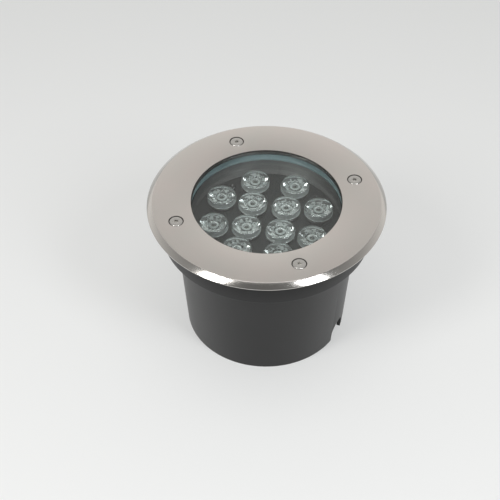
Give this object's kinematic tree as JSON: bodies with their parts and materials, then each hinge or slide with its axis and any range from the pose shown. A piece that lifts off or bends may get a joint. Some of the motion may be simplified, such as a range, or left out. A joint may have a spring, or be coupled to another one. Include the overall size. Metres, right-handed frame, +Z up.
{
  "type": "in ground well light",
  "caption": "Round recessed ground light: a stainless face ring and thick glass window over lenses, in a lamp unit that lifts out of a black sleeve with a cable notch.",
  "frame": {"origin": "centre of the sleeve's foot, on the plane that it stands on", "axes": "+Z up along the light's axis, from the foot to the window; -Y is the front of the reference view"},
  "size_m": [0.16, 0.16, 0.106],
  "materials": {
    "sleeve_plastic": "satin black moulding",
    "ring_steel": "satin brushed top, polished bevel",
    "screw_steel": "bright turned",
    "window_glass": "clear, toughened",
    "pale_silicone": "translucent matte",
    "housing_coating": "fine dark powder coating",
    "board_mask": "matt dark solder mask",
    "heat_pad": "matt grey",
    "clear_lens": "clear moulded",
    "holder_plastic": "dark satin",
    "emitter_dome": "clear dome over a pale phosphor",
    "dark_rubber": "matt",
    "red_insulation": "satin",
    "black_insulation": "satin",
    "brown_insulation": "satin",
    "blue_insulation": "satin",
    "driver_plastic": "satin",
    "circuit_laminate": "satin",
    "ferrite": "matt",
    "capacitor_can": "printed sleeve, plain",
    "terminal_plastic": "satin",
    "terminal_brass": "bright",
    "gland_nylon": "satin"
  },
  "bodies": {
    "sleeve": {"mounting_sleeve": "sleeve_plastic"},
    "lamp_unit": {"board_screws": "screw_steel", "cover_glass": "window_glass", "driver_board": "circuit_laminate", "driver_capacitor": "capacitor_can", "driver_case": "driver_plastic", "driver_choke": "ferrite", "driver_lid": "driver_plastic", "driver_screws": "screw_steel", "driver_transformer": "ferrite", "face_ring": "ring_steel", "face_screws": "screw_steel", "gland_body": "gland_nylon", "gland_locknut": "gland_nylon", "gland_nut": "gland_nylon", "gland_seal": "dark_rubber", "gland_washer": "dark_rubber", "glass_gasket": "pale_silicone", "lamp_housing": "housing_coating", "lead_live": "brown_insulation", "lead_negative": "black_insulation", "lead_neutral": "blue_insulation", "lead_positive": "red_insulation", "led_board": "board_mask", "led_emitters": "emitter_dome", "lens_01": "clear_lens", "lens_02": "clear_lens", "lens_03": "clear_lens", "lens_04": "clear_lens", "lens_05": "clear_lens", "lens_06": "clear_lens", "lens_07": "clear_lens", "lens_08": "clear_lens", "lens_09": "clear_lens", "lens_10": "clear_lens", "lens_11": "clear_lens", "lens_12": "clear_lens", "lens_holder_01": "holder_plastic", "lens_holder_02": "holder_plastic", "lens_holder_03": "holder_plastic", "lens_holder_04": "holder_plastic", "lens_holder_05": "holder_plastic", "lens_holder_06": "holder_plastic", "lens_holder_07": "holder_plastic", "lens_holder_08": "holder_plastic", "lens_holder_09": "holder_plastic", "lens_holder_10": "holder_plastic", "lens_holder_11": "holder_plastic", "lens_holder_12": "holder_plastic", "rear_cover": "housing_coating", "rear_cover_screws": "screw_steel", "rear_cover_seal": "dark_rubber", "terminal_block": "terminal_plastic", "terminal_screws": "terminal_brass", "thermal_pad": "heat_pad", "wire_grommet": "dark_rubber"}
  },
  "joints": [
    {"name": "lamp_lift", "type": "slide", "parent": "sleeve", "child": "lamp_unit", "axis": [0, 0, 1], "range_m": [0, 0.09]}
  ]
}
